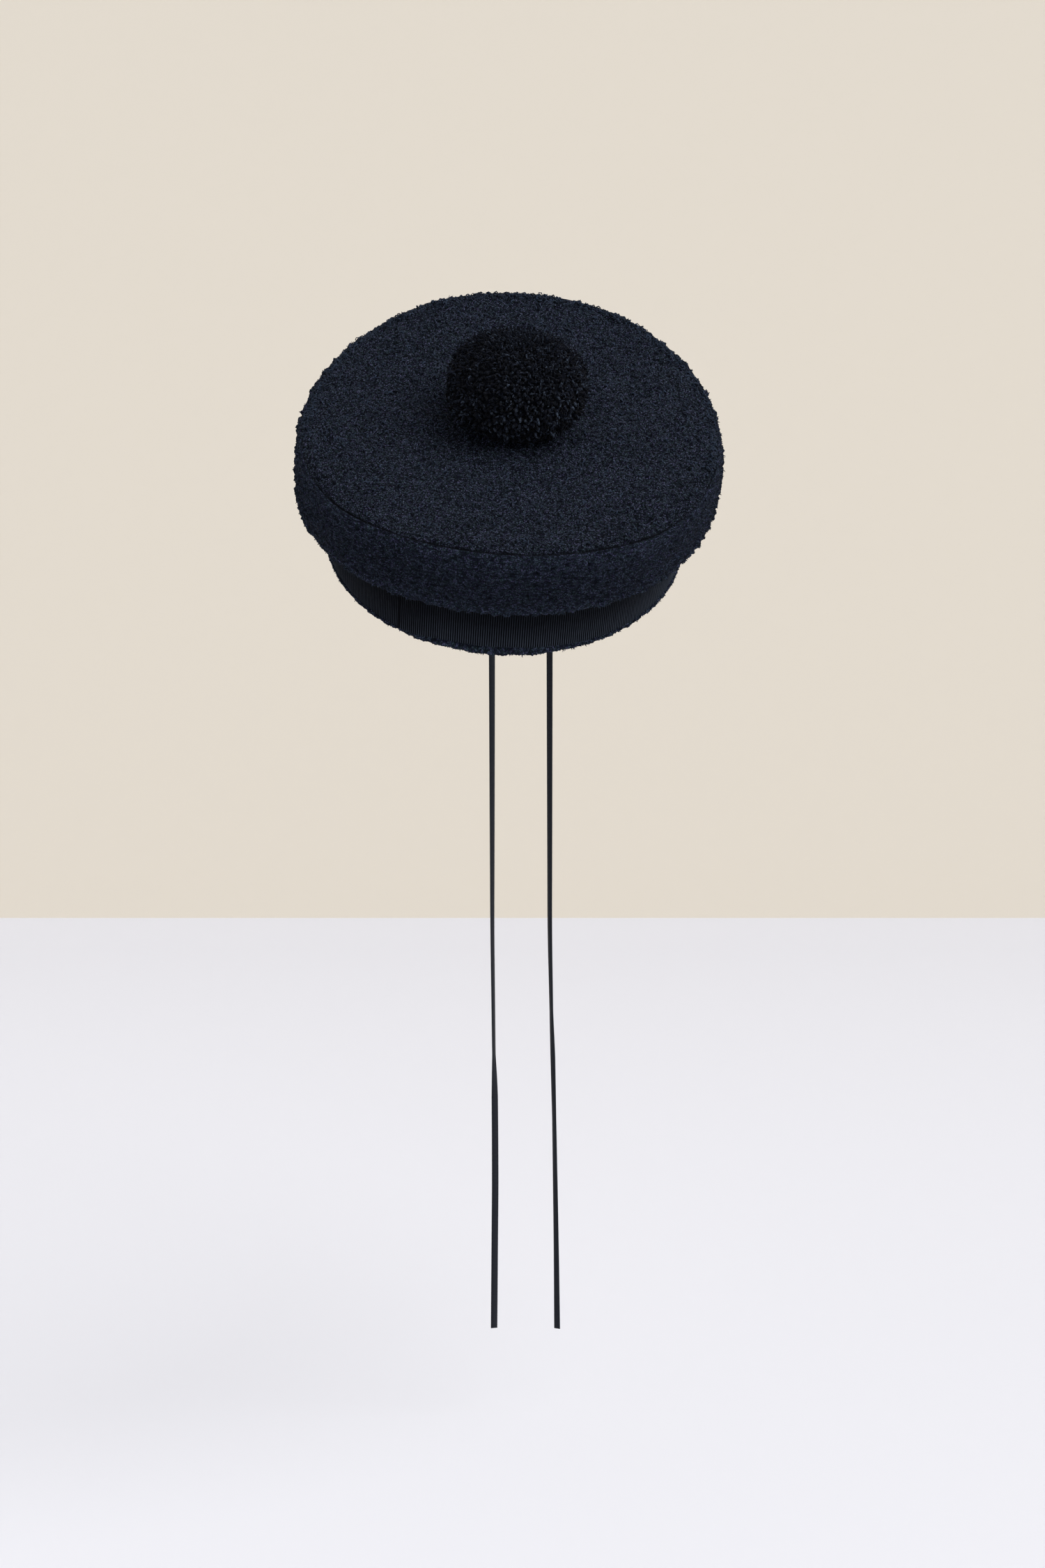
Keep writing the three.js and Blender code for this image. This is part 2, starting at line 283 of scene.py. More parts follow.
# %% [markdown]
# ## Colours and nodes
#
# Colours are written as sRGB hex values and turned to linear ones. One helper adds a
# node, sets its properties and fills or links its sockets. What is the same all over a
# surface is set on the shader itself.

# %% Colours and scales
def linear(hex_colour):
    """Each sRGB channel c becomes ((c + 0.055) / 1.055) ^ 2.4, or c / 12.92 if dark."""
    channels = [int(hex_colour[k:k + 2], 16) / 255 for k in (1, 3, 5)]
    return [*(((c + 0.055) / 1.055) ** 2.4 if c > 0.04045 else c / 12.92
              for c in channels), 1]


def per_metre(millimetres):
    """A texture node's scale for a feature of that size."""
    return 1000 / millimetres


print("Navy as linear light:", np.round(linear("#141929")[:3], 4))


# %% Node helper
def add_node(tree, kind, sockets=None, **settings):
    """Adds a node. settings are its properties, and sockets are its inputs, each given
    a value or the output that is linked to it."""
    made = tree.nodes.new(kind)
    for name, value in settings.items():
        setattr(made, name, value)
    for key, value in (sockets or {}).items():
        if isinstance(value, bpy.types.NodeSocket):
            tree.links.new(value, made.inputs[key])
        else:
            made.inputs[key].default_value = value
    return made


print("Nodes are added by", add_node.__name__)


# %% Material helpers
def new_material(name, constants):
    """A material with the constants on its shader's own sockets, its node tree, and
    the shader's sockets to link."""
    made = bpy.data.materials.new(name)
    made.use_nodes = True
    sockets = made.node_tree.nodes["Principled BSDF"].inputs
    for key, value in constants.items():
        sockets[key].default_value = value
    return made, made.node_tree, sockets


def dye(tree, shader, light, colours, relief=None):
    """Colours a surface. light, from 0 to 1, picks between the colours, given as
    position: hex from low to high. relief is a bump's height, strength and distance."""
    shade = add_node(tree, "ShaderNodeValToRGB", {"Fac": light})
    ramp = shade.color_ramp.elements
    (low, first), *between, (high, last) = colours.items()
    ramp[0].position, ramp[1].position = low, high
    ramp[0].color, ramp[1].color = linear(first), linear(last)
    for position, colour in between:
        ramp.new(position).color = linear(colour)
    tree.links.new(shade.outputs["Color"], shader["Base Color"])
    if relief:
        bump = add_node(tree, "ShaderNodeBump", dict(
            zip(("Height", "Strength", "Distance"), relief)))
        tree.links.new(bump.outputs["Normal"], shader["Normal"])


print("Materials so far:", len(bpy.data.materials))

# %% [markdown]
# ## Narrow grosgrain
#
# The ties are woven of polyester or rayon thread, dyed nearly black. Each thick weft
# thread makes a rib, and what gives it away is a dim highlight on each crest and a
# black valley between. The ribs are in the mesh. The material reads where they are,
# paints that highlight on each crest and that dark in each valley as painted light and
# shade, and adds the grain of the fine thread.

# %% Narrow grosgrain
# Gives the eye a near-black ribbon with a faint gleam on each rib.
narrow_grosgrain, tree, shader = new_material(
    "narrow_grosgrain", {"Roughness": 0.6, "Specular IOR Level": 0.15})
painted_rib_light_and_shade = add_node(tree, "ShaderNodeAttribute", attribute_name="value").outputs["Fac"]
thread = add_node(tree, "ShaderNodeTexNoise", {
    "Vector": add_node(tree, "ShaderNodeTexCoord").outputs["Object"],
    "Scale": per_metre(0.6), "Detail": 2.0}).outputs["Fac"]
height = add_node(tree, "ShaderNodeMath", {0: painted_rib_light_and_shade, 1: 0.75, 2: add_node(
    tree, "ShaderNodeMath", {0: thread, 1: 0.25}, operation="MULTIPLY").outputs[0]},
    operation="MULTIPLY_ADD").outputs[0]
# Painted highlight on each rib's crest and painted shade between ribs, from the "value"
# of each station.
dye(tree, shader, height, {0.1: "#08090d", 0.9: "#20242d"}, (height, 0.6, 0.0002))
print("Ribs in a decimetre of tie:", round(100 / TIE_RIB))

# %% [markdown]
# ## The two ties
#
# Both are limp free ribbons, each made along its path with its real length and its
# width. They end bare, cut square.

# %% Tie pieces
for side in TIE_TURNS:
    middle, points, ribs = tie_surface(side)
    rows = len(middle)
    quads, _, _ = grid_quads(rows, len(SECTION), wrap_columns=True)
    ends = np.array([np.arange(8)[::-1], (rows - 1) * 8 + np.arange(8)])
    # The "value" of each station paints a rib's crest light and its valley dark.
    tie = piece(f"tie_{side}_ribbon", points.reshape(-1, 3) / 1000, [quads, ends],
                narrow_grosgrain, values=ribs)
    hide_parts(f"tail_{side}")

# %% [markdown]
# ## Boucle tweed
#
# Boucle yarn is spun with loops, so the woven wool is a mat of small navy curls with
# dark pits between them, one half to 2 mm across. The larger curls and knots are real
# relief in the mesh. This pattern adds what is finer: a noise whose middle line winds
# gives the curls, a Voronoi gives each nub a dome and its own tint, and one height
# drives both the bump and the dark of the pits, which is painted shade.

# %% Height of the yarn
CURL, NUB, FIBRE, RIPPLE = 0.7, 0.68, 0.33, 1.1  # mm


def yarn_height(tree, place):
    """0.5 ridge + 0.45 dome + 0.35 fibre. The ridge is 1 where a curling noise is
    one half and falls to 0 beside it, and the dome falls from each nub's middle. Also
    gives the nubs' own random colour."""
    curl = add_node(tree, "ShaderNodeTexNoise", {
        "Vector": place, "Scale": per_metre(CURL), "Detail": 3.0, "Roughness": 0.65,
        "Distortion": 1.6}).outputs["Fac"]
    ridge = add_node(tree, "ShaderNodeMapRange", {
        "Value": add_node(tree, "ShaderNodeMath", {
            0: add_node(tree, "ShaderNodeMath", {0: curl, 1: 0.5},
                        operation="SUBTRACT").outputs[0]},
            operation="ABSOLUTE").outputs[0],
        "From Min": 0.0, "From Max": 0.16, "To Min": 1.0, "To Max": 0.0}).outputs[0]
    nub = add_node(tree, "ShaderNodeTexVoronoi", {
        "Vector": place, "Scale": per_metre(NUB)}, feature="F1")
    dome = add_node(tree, "ShaderNodeMapRange", {
        "Value": nub.outputs["Distance"], "From Min": 0.0, "From Max": 0.8,
        "To Min": 1.0, "To Max": 0.0}).outputs[0]
    fibre = add_node(tree, "ShaderNodeTexNoise", {
        "Vector": place, "Scale": per_metre(FIBRE), "Detail": 2.0}).outputs["Fac"]
    height = add_node(tree, "ShaderNodeMath", {0: ridge, 1: 0.5, 2: add_node(
        tree, "ShaderNodeMath", {0: dome, 1: 0.45, 2: add_node(
            tree, "ShaderNodeMath", {0: fibre, 1: 0.35},
            operation="MULTIPLY").outputs[0]},
        operation="MULTIPLY_ADD").outputs[0]}, operation="MULTIPLY_ADD").outputs[0]
    return height, nub.outputs["Color"]


print("Curls per decimetre of cloth:", round(per_metre(CURL) / 10))

# %% [markdown]
# ## The tweed's colour
#
# The yarn is a mix of inky blue wools. The colour paints light and shade into the
# loops: the crests are a painted slate-blue highlight, the hollows between them are
# nearly black as painted shade, and the nubs lean to teal or violet. Wool has no gloss,
# so the roughness is high, the specular level low, and a trace of bluish sheen stands
# for the fuzz.

# %% Tweed material
def boucle_tweed(name, pit, yarn, crest, hollows, drawn_out, sheen, in_rows=False):
    """Navy boucle: pit, yarn and crest are its colours from low to high, so the dark
    pits are painted shade and the light crests a painted highlight. hollows is how dark
    the slow ripple makes the ground between loops, as painted shade, and drawn_out how
    many times longer that ripple is than it is wide. With in_rows, the pattern follows
    the cloth's UV map. The attribute "value" is painted light and shade: about 1 on
    open cloth, more where light is painted on, and near 0 as painted shade down in a
    seam."""
    made, tree, shader = new_material(name, {
        "Roughness": 0.95, "Specular IOR Level": 0.06, "Sheen Weight": sheen,
        "Sheen Roughness": 0.5, "Sheen Tint": linear("#8c9cc8")})
    place = add_node(tree, "ShaderNodeTexCoord").outputs["Object"]
    if in_rows:
        place = add_node(tree, "ShaderNodeUVMap", uv_map="cloth").outputs["UV"]
    height, nub_colour = yarn_height(tree, place)
    ripple = add_node(tree, "ShaderNodeTexNoise", {
        "Vector": add_node(tree, "ShaderNodeMapping", {
            "Vector": place, "Scale": (1 / drawn_out, 1, 1)}).outputs[0],
        "Scale": per_metre(RIPPLE), "Detail": 1.0, "Distortion": 0.8}).outputs["Fac"]
    shade = add_node(tree, "ShaderNodeValToRGB", {"Fac": add_node(
        tree, "ShaderNodeMath", {
            0: add_node(tree, "ShaderNodeMapRange", {
                "Value": height, "From Min": 0.42, "From Max": 0.88}).outputs[0],
            1: add_node(tree, "ShaderNodeMapRange", {
                "Value": ripple, "From Min": 0.32, "From Max": 0.54,
                "To Min": 1 - hollows, "To Max": 1.0}).outputs[0]},
        operation="MULTIPLY").outputs[0]})
    ramp = shade.color_ramp.elements
    ramp[0].color, ramp[1].color = linear(pit), linear(crest)
    ramp.new(0.5).color = linear(yarn)
    tint = add_node(tree, "ShaderNodeSeparateColor",
                    {"Color": nub_colour}).outputs["Red"]
    # Painted light and shade from the mesh's "value" scales the colour's brightness.
    painted_light_and_shade = add_node(tree, "ShaderNodeAttribute", attribute_name="value")
    hue = add_node(tree, "ShaderNodeHueSaturation", {
        "Color": shade.outputs["Color"],
        "Hue": add_node(tree, "ShaderNodeMapRange", {
            "Value": tint, "To Min": 0.42, "To Max": 0.555}).outputs[0],
        "Value": add_node(tree, "ShaderNodeMath", {
            0: painted_light_and_shade.outputs["Fac"], 1: add_node(tree, "ShaderNodeMapRange", {
                "Value": tint, "To Min": 0.35, "To Max": 1.65}).outputs[0]},
            operation="MULTIPLY").outputs[0]})
    tree.links.new(hue.outputs["Color"], shader["Base Color"])
    bump = add_node(tree, "ShaderNodeBump", {
        "Strength": 1.0, "Distance": 0.0012, "Height": height})
    tree.links.new(bump.outputs["Normal"], shader["Normal"])
    return made


print("Lightest yarn as linear light:", np.round(linear("#5f6a7e")[:3], 3))

# %% [markdown]
# ## Two ways round of one cloth
#
# On the top the loops lie every way, and their crests catch the light from above. On
# the side and the band the same cloth is seen along its yarn rows, so its pattern runs
# in rows. Its colours are darker and softer as painted shade: it is a shaded copy of
# the top's tweed.

# %% The two tweeds
# Gives the eye a mat of slate-blue loops on a nearly black ground.
tweed = boucle_tweed("boucle_tweed", pit="#010205", yarn="#141929", crest="#5f6a7e",
                     hollows=0.97, drawn_out=1, sheen=0.03)
# Gives the eye loops in rows that run round the hat, darker and softer as painted
# shade.
tweed_rows = boucle_tweed("boucle_tweed_in_rows", pit="#020307", yarn="#151a27",
                          crest="#434d5e", hollows=0.75, drawn_out=2.5, sheen=0.05,
                          in_rows=True)
print("Tweeds:", tweed.name, "and", tweed_rows.name)

# %% [markdown]
# ## Random relief that varies smoothly
#
# Nubs in a cloth are random but not rough. Value noise keeps random numbers on a
# lattice and blends between them. Folding it over, one minus its size, gives winding
# ridges, and pushing the place about first makes them curl as looped yarn does.

# %% Noise helpers
def smoothstep(value, low, high):
    """0 below low, 1 above high, and 3t^2 - 2t^3 between."""
    t = np.clip((value - low) / (high - low), 0, 1)
    return t * t * (3 - 2 * t)


def value_noise(points, size, seed):
    """Smooth numbers from -1 to 1: random values on a lattice, size apart, blended over
    the eight corners round each point with the weights 3t^2 - 2t^3."""
    table = np.random.default_rng(seed).uniform(-1, 1, (64, 64, 64))
    place = np.asarray(points) / size
    low = np.floor(place).astype(int)
    t = place - low
    t = t * t * (3 - 2 * t)
    total = np.zeros(place.shape[:-1])
    for corner in np.ndindex(2, 2, 2):
        at = (low + corner) % 64
        weight = np.prod(np.where(corner, t, 1 - t), axis=-1)
        total += weight * table[at[..., 0], at[..., 1], at[..., 2]]
    return total


def curly_ridges(points, size, seed):
    """1 - 2 |noise| at a place that is first moved by a coarser noise."""
    push = np.stack([value_noise(points, 1.6 * size, seed + k) for k in (1, 2, 3)], -1)
    return 1 - 2 * np.abs(value_noise(points + size * push, size, seed))


print("Noise at three points:", np.round(value_noise(np.eye(3) * 7, 2, 1), 2))

# %% [markdown]
# ## Form of the crown top
#
# The top is one oval panel of tweed, flat in the middle, whose edge follows the seam.
# Its height is a formula of how far out and at what angle a point lies: the panel
# rises to the back, and its edge dips at both sides where the cloth is eased over.

# %% Crown top form
def crown_reach(angle):
    """The crown's oval is a little squarer than the band's: minus cos 4a."""
    return -np.cos(4 * angle)


def seam_lift(angle):
    """5.5 sin a - 3.85 cos 2a: higher at the back, and at both ends than the sides."""
    return SEAM_BACK_LIFT * np.sin(angle) - SEAM_ENDS_LIFT * np.cos(2 * angle)


def shoulder_drop(angle):
    """The cloth is eased over the rim at both sides, where the seam lies 2.4 mm lower
    than the sewn edge in front."""
    return 2.4 * smoothstep(np.abs(np.cos(angle)), 0.4, 0.9)


def crown_top_surface(share, angle):
    """Points share of the way from the middle to the seam, at that angle. The height is
    66 + 5.5 sin a share + (1 - 3.85 cos 2a) share^3 - drop share^16."""
    reach = SEAM_OFFSET + crown_reach(angle)
    height = (TOP_MIDDLE + SEAM_BACK_LIFT * np.sin(angle) * share
              + (SEAM_HEIGHT - TOP_MIDDLE - SEAM_ENDS_LIFT * np.cos(2 * angle))
              * share ** 3 - shoulder_drop(angle) * share ** 16)
    return np.stack([(HALF_WIDTH + reach) * np.cos(angle) * share,
                     (HALF_LENGTH + reach) * np.sin(angle) * share, height], -1)


print("Seam's height in front and behind:",
      crown_top_surface(1, np.array([-BACK, BACK]))[:, 2], "mm")

# %% [markdown]
# ## Spreading points over the disc
#
# A polar grid would crowd its points in the middle, so a square grid is bent into the
# disc instead, which keeps them 0.8 mm apart nearly everywhere. That is close enough
# for the curls of the yarn, and a little closer still at the rim, where the seam is.

# %% Square to disc
def disc_of_square(s, t):
    """Concentric squares become concentric circles. Where |s| is the larger, the
    radius is s and the angle is 45 degrees times t / s, and the other way round."""
    wide = np.abs(s) >= np.abs(t)
    radius = np.where(wide, s, t)
    safe = np.where(radius == 0, 1, radius)
    ratio = np.where(wide, t, s) / safe
    turned = np.where(wide, np.pi / 4 * ratio, np.pi / 2 - np.pi / 4 * ratio)
    return radius * np.cos(turned), radius * np.sin(turned)


print("A corner of the square goes to", np.round(disc_of_square(1.0, 1.0), 2))


# %% Normals of a grid
def grid_normals(points, wrap_rows=False, wrap_columns=False):
    """Unit normals of a rows x columns x 3 grid: the cross product of the steps along
    the rows and along the columns. A wrapped direction is padded with its other end."""
    pad = ((1, 1) if wrap_rows else (0, 0), (1, 1) if wrap_columns else (0, 0), (0, 0))
    padded = np.pad(points, pad, mode="wrap")
    step_i, step_j = np.gradient(padded, axis=0), np.gradient(padded, axis=1)
    normal = np.cross(step_i, step_j)
    normal = normal[1:-1] if wrap_rows else normal
    normal = normal[:, 1:-1] if wrap_columns else normal
    return normal / np.maximum(np.linalg.norm(normal, axis=-1, keepdims=True), 1e-9)


level = np.stack(np.meshgrid([0, 1], [0, 1], [0], indexing="ij"), -1)[:, :, 0]
print("A level grid's normal:", grid_normals(level)[0, 0])

# %% Crown top cloth
CROWN_SPACING, CLOSER_AT_RIM = 0.82, 1.22
crown_grid = round(2 * (HALF_LENGTH + SEAM_OFFSET) / CROWN_SPACING)
s, t = np.meshgrid(*[np.linspace(-1, 1, crown_grid)] * 2, indexing="ij")
disc_x, disc_y = disc_of_square(s, t)
share = 1 - (1 - np.minimum(np.hypot(disc_x, disc_y), 1)) ** CLOSER_AT_RIM
top_angle = np.arctan2(disc_y, disc_x)
top = crown_top_surface(share, top_angle)
top_normals = grid_normals(top)
top_normals *= np.sign(top_normals[..., 2:])
from_seam = (1 - share) * (HALF_WIDTH + SEAM_OFFSET)
print("Crown top grid:", crown_grid, "x", crown_grid, "points")

# %% [markdown]
# ## Relief of the crown top
#
# The curls that are big enough to break the outline are real: the points move out and
# in along the normal. The seam is sewn flat only in front, where it shows as a groove
# a millimetre deep. At the sides and behind, the loops close over it.

# %% Crown top relief
def knots(points):
    """Where value noise rises above 0.2, a knot of yarn stands up to 1.2 mm proud, and
    where it falls below -0.4 there is a pit of up to 1 mm between the loops."""
    noise = value_noise(points, 2.1, 27)
    return 1.2 * smoothstep(noise, 0.2, 0.75) - smoothstep(-noise, 0.4, 0.7)


def nubs(points):
    """Relief of the cloth in mm: curls 2 mm across and scattered knots, on slow
    swells."""
    return (0.45 * curly_ridges(points, 1.9, 11) + 0.2 * value_noise(points, 4.5, 21)
            + 0.35 * value_noise(points, 17, 31) + knots(points))


def in_front(angle):
    """1 where the seam is sewn flat, in front, and 0 at the sides and behind."""
    return smoothstep(-np.sin(angle), 0.42, 0.75)


sewn_flat = in_front(top_angle)
groove = (0.2 + 0.8 * sewn_flat) * (1 - smoothstep(from_seam, 0, 0.8)) ** 1.5
relief = (nubs(top) * smoothstep(from_seam, -0.2, 1.4)
          * (0.8 + 0.5 * smoothstep(share, 0.92, 0.98)) - groove)
top = top + relief[..., None] * top_normals
top[..., :2] *= (1 + 0.004 * (1 - smoothstep(from_seam, 0, 0.3)))[..., None]
# Painted shade: the cloth's colour goes nearly black down in the sewn seam in front.
top_painted_seam_shade = 1 - 0.95 * sewn_flat * (1 - smoothstep(from_seam, 0.3, 0.85))
print("Relief of the crown top:", np.round(relief.std(), 2), "mm")

# %% [markdown]
# ## Crown top piece
#
# The cloth needs its 2 mm of thickness, because its inside shows from below. The inside
# carries no relief, so it is only a few plain rings down from the rim and a fan of
# triangles that closes them in the middle.

# %% Crown top piece
INSIDE_SHARES = 0.85, 0.6, 0.3
number = np.arange(crown_grid ** 2).reshape(crown_grid, crown_grid)
rim = np.r_[number[:-1, 0], number[-1, :-1], number[:0:-1, -1], number[0, :0:-1]]
mitre = 0.7 * TWEED / (HALF_WIDTH + SEAM_OFFSET)
rings = [crown_top_surface(np.full(len(rim), part), top_angle.ravel()[rim])
         - [0, 0, TWEED] for part in (1 - mitre, *INSIDE_SHARES)]
under = np.concatenate([*rings, [[0, 0, TOP_MIDDLE - TWEED]]])
ring_numbers = np.vstack(
    [rim, number.size + np.arange(4 * len(rim)).reshape(4, -1)])
_, down_i, down_j = grid_quads(5, len(rim), wrap_columns=True)
down = ring_numbers[down_i, down_j % len(rim)]
last = ring_numbers[-1]
fan = np.stack([last, np.roll(last, -1), np.full(len(rim), last[-1] + 1)], -1)
top_quads, _, _ = grid_quads(crown_grid, crown_grid)
crown_top = piece("crown_top_cloth", worn(np.concatenate([top.reshape(-1, 3), under])),
                  [top_quads, down, fan[:, ::-1]], tweed,
                  values=np.r_[top_painted_seam_shade.ravel(), np.ones(len(under))])
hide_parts("crown_top")

# %% [markdown]
# ## Section of the crown side
#
# A strip of the same tweed runs round the crown from the seam, over a soft shoulder and
# down to a rolled lower edge, where it turns under to the head band. It is a section
# carried round the oval, and the shift of each point with the angle gives it the
# crown's own outline and its uneven roll.

# %% Rings round the head
def ring_round_head(section, angles, shift):
    """Every (offset, height) of the section at every angle: the point stands offset
    outside the oval (88.5 cos a, 105 sin a), after shift has moved it."""
    offset, height, a = section[:, :1], section[:, 1:], angles[None, :]
    outward, upward = shift(offset, height, a)
    return np.stack([(HALF_WIDTH + offset + outward) * np.cos(a),
                     (HALF_LENGTH + offset + outward) * np.sin(a),
                     height + upward + 0 * a], -1)


print("One ring:", ring_round_head(np.zeros((1, 2)), np.zeros(4),
                                   lambda *place: (0, 0)).shape)

# %% Crown side section
ROLL_HEIGHT, ROLL_OFFSET, UNDER_START = 32.5, 12, 1
OUTSIDE_ROWS = [
    # offset, height
    (15.1, 67), (16.3, 65.9), (17.1, 63.6), (17.5, 60), (17.7, 54), (17.7, 47),
    (17.6, 40), (17.1, 35.3), (15.6, 32.5), (12.8, 31.4), (7, 31.35), (1, 31.3),
    (-2.2, 31.3)]
INSIDE_ROWS = [
    (-2.2, 33.3), (1, 33.3), (12.6, 33.4), (14.6, 34.3), (15.3, 36.1), (15.6, 40.2),
    (15.6, 48), (15.2, 56.8), (14.5, 62.7), (13.7, 65)]


def roll_lift(angle):
    """The rolled edge rides higher on the wearer's left: 0.2 + 3 cos a + 1.2 sin 2a."""
    return 0.2 + 3 * np.cos(angle) + 1.2 * np.sin(2 * angle)


def crown_side_shift(offset, height, angle):
    """Outwards by the crown's reach, and upwards by the roll's lift at the bottom and
    the seam's at the top. Near the head band both fade out."""
    out = smoothstep(offset, UNDER_START, ROLL_OFFSET)
    up = np.maximum((height - ROLL_HEIGHT) / (SEAM_HEIGHT - ROLL_HEIGHT), 0)
    return (out * crown_reach(angle),
            out * (1 - up) * roll_lift(angle)
            + up * seam_lift(angle) - up ** 3 * shoulder_drop(angle))


side_line = smooth_line(OUTSIDE_ROWS, 0.82, (0.12, 0.3, 0.5, 0.8, 1.2))
side_section = np.vstack([side_line, INSIDE_ROWS])
side_angles = BACK + np.arange(900) * 2 * np.pi / 900
wall = ring_round_head(side_section, side_angles, crown_side_shift)
wall_normals = grid_normals(wall, True, True)
wall_normals *= np.sign((wall_normals[5] * wall[5]).sum())
print("Crown side grid:", wall.shape[:2])

# %% [markdown]
# ## Relief of the crown side
#
# The outside has the curls and knots of the top, and faint rows of yarn that wander a
# little. The inside stays plain. The "value" that the material reads is painted light
# and shade: it rises at the shoulder and at the roll, where the bent cloth faces the
# light, falls on the flat of the side between them, and drops to nothing down in the
# sewn seam as painted shade.

# %% Crown side relief
ROW_SPACING = 2.6
along = np.r_[0, np.cumsum(np.linalg.norm(np.diff(side_line, axis=0), axis=1))]


def outside_only(values, inside=0):
    """One number for each row of the section: the values down the outside and the same
    one on all rows of the inside. It is a column, to go with a row of angles."""
    return np.r_[values, np.full(len(INSIDE_ROWS), float(inside))][:, None]


shown = outside_only(smoothstep(along, 0, 1.6) * (1 - smoothstep(along, 42, 50)))
wander = value_noise(wall, 9, 41) + 0.5 * value_noise(wall, 4, 42)
relief = shown * (0.42 * curly_ridges(wall, 1.9, 11) + knots(wall)
                  + 0.3 * value_noise(wall, 17, 31)
                  + 0.1 * np.sin(2 * np.pi * outside_only(along) / ROW_SPACING
                                 + 2.2 * wander))
sewn_flat = in_front(side_angles)
groove = outside_only((1 - smoothstep(along, 0, 0.75)) ** 1.5) * (0.3 + 0.6 * sewn_flat)
wall = wall + (relief - groove)[..., None] * wall_normals
# Painted light: lighter at the shoulder and the roll, darker on the flat between them.
painted_side_light = outside_only(
    1.4 - 0.45 * smoothstep(along, 3, 22) + 0.6 * smoothstep(along, 29.5, 32.5), 0.95)
# Painted shade down in the sewn seam in front.
seam_shade_mask = outside_only(1 - smoothstep(along, 0.2, 0.6))
side_painted_light_and_shade = painted_side_light * (1 - 0.97 * seam_shade_mask * sewn_flat)
print("Relief of the crown side:", np.round(relief.std(), 2), "mm")

# %% [markdown]
# ## Crown side piece
#
# The yarn rows run round the hat here, so the cloth has a UV map in metres, U along the
# strip and V down it, which the tweed in rows reads.

# %% Crown side piece
def cloth_uv(section, angles, i, j):
    """U is the length round the band and V the length along the section, in metres."""
    radius = (HALF_WIDTH + HALF_LENGTH) / 2
    step = np.linalg.norm(np.diff(section, axis=0, append=section[:1]), axis=1)
    v = np.r_[0, np.cumsum(step)] / 1000
    u = np.arange(len(angles) + 1) / len(angles) * 2 * np.pi * radius / 1000
    return np.stack([u[j], v[i]], -1)


side_quads, i, j = grid_quads(len(side_section), len(side_angles), True, True)
crown_side = piece("crown_side_cloth", worn(wall.reshape(-1, 3)), [side_quads],
                   tweed_rows,
                   uv=[cloth_uv(side_section, side_angles, i, j)], values=side_painted_light_and_shade)
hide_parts("crown_side")

# %% [markdown]
# ## Loops that stand out of the tweed
#
# Some loops of the boucle yarn stand clear of the cloth. They are what makes the
# outline of the hat uneven, and they catch the light one by one. Hair particles could
# carry them, but the export keeps meshes, so each is an arc of a thin tube, set on the
# cloth at a random place, some upright and most lying nearly flat. All the loops of a
# piece are computed as one array and kept as one mesh.

# %% Places on the cloth
def scatter(points, faces, count, rng, wanted):
    """Random places on quads, each quad as likely as its area times wanted at its
    first corner. A place is a mix of the four corners by two random shares."""
    a, b, c, d = points[faces].transpose(1, 0, 2)
    normal = np.cross(c - a, d - b)
    area = np.linalg.norm(normal, axis=1)
    chance = area * wanted[faces[:, 0]]
    chosen = rng.choice(len(faces), count, p=chance / chance.sum())
    u, v = rng.random((2, count, 1))
    place = ((1 - u) * (1 - v) * a[chosen] + u * (1 - v) * b[chosen]
             + u * v * c[chosen] + (1 - u) * v * d[chosen])
    return place, normal[chosen] / area[chosen, None]


print("Quads of the crown top to scatter over:", len(top_quads))


# %% Tubes of yarn
def tubes(middle, out, side, thick, sides=3):
    """Closed tubes of few sides round lines of stations: middle + thick (cos q out +
    sin q side), for each corner angle q. out and side are unit directions."""
    count, stations = middle.shape[:2]
    q = np.arange(sides) / sides * 2 * np.pi
    ring = (np.cos(q)[:, None] * out[:, :, None]
            + np.sin(q)[:, None] * side[:, :, None])
    points = middle[:, :, None] + thick[..., None, None] * ring
    quads, _, _ = grid_quads(stations, sides, wrap_columns=True)
    size = stations * sides
    first = np.arange(count)[:, None, None] * size
    ends = np.array([np.arange(sides)[::-1], size - sides + np.arange(sides)])
    return (points.reshape(-1, 3), (quads + first).reshape(-1, 4),
            (ends + first).reshape(-1, sides))


print("Sides of a strand unless told otherwise:", tubes.__defaults__[0])

# %% Loops of yarn
LOOP_STATIONS = 5


def yarn_loops(place, normal, rng, radius, thick, tilts):
    """Arcs of radius r from -40 to 220 degrees: place + r (cos f along + sin f up). up
    leans away from the cloth's normal. A random share raised to 2.5 sets both r and the
    tilt, so that most loops are small and lie flat, and the few large ones stand up."""
    count = len(place)
    pick = rng.normal(size=(count, 3))
    along = np.cross(normal, pick)
    along /= np.linalg.norm(along, axis=1, keepdims=True)
    across = np.cross(normal, along)
    large = rng.random((count, 1)) ** 2.5
    tilt = np.radians(tilts[1] - (tilts[1] - tilts[0]) * large ** 0.7)
    up = np.cos(tilt) * normal + np.sin(tilt) * across
    axle = np.cross(along, up)
    f = np.radians(np.linspace(-40, 220, LOOP_STATIONS))[:, None]
    out = np.cos(f) * along[:, None] + np.sin(f) * up[:, None]
    r = radius[0] + (radius[1] - radius[0]) * large[:, None]
    wave = 0.35 * r * np.sin(2 * f) * rng.uniform(-1, 1, (count, 1, 1))
    middle = place[:, None] + r * out + wave * axle[:, None]
    thickness = rng.uniform(*thick, (count, 1)) * [0.6, 1, 1, 1, 0.6]
    side = np.broadcast_to(axle[:, None], middle.shape)
    return tubes(middle, out, side, thickness)


print("Triangles in one loop:", 2 * 3 * (LOOP_STATIONS - 1) + 2)

# %% [markdown]
# ## Yarn of the loops
#
# The loops are single strands of the tweed's own wool, so they take its colours. Each
# strand has its own tone, because the spun yarn mixes lighter and darker fibre.

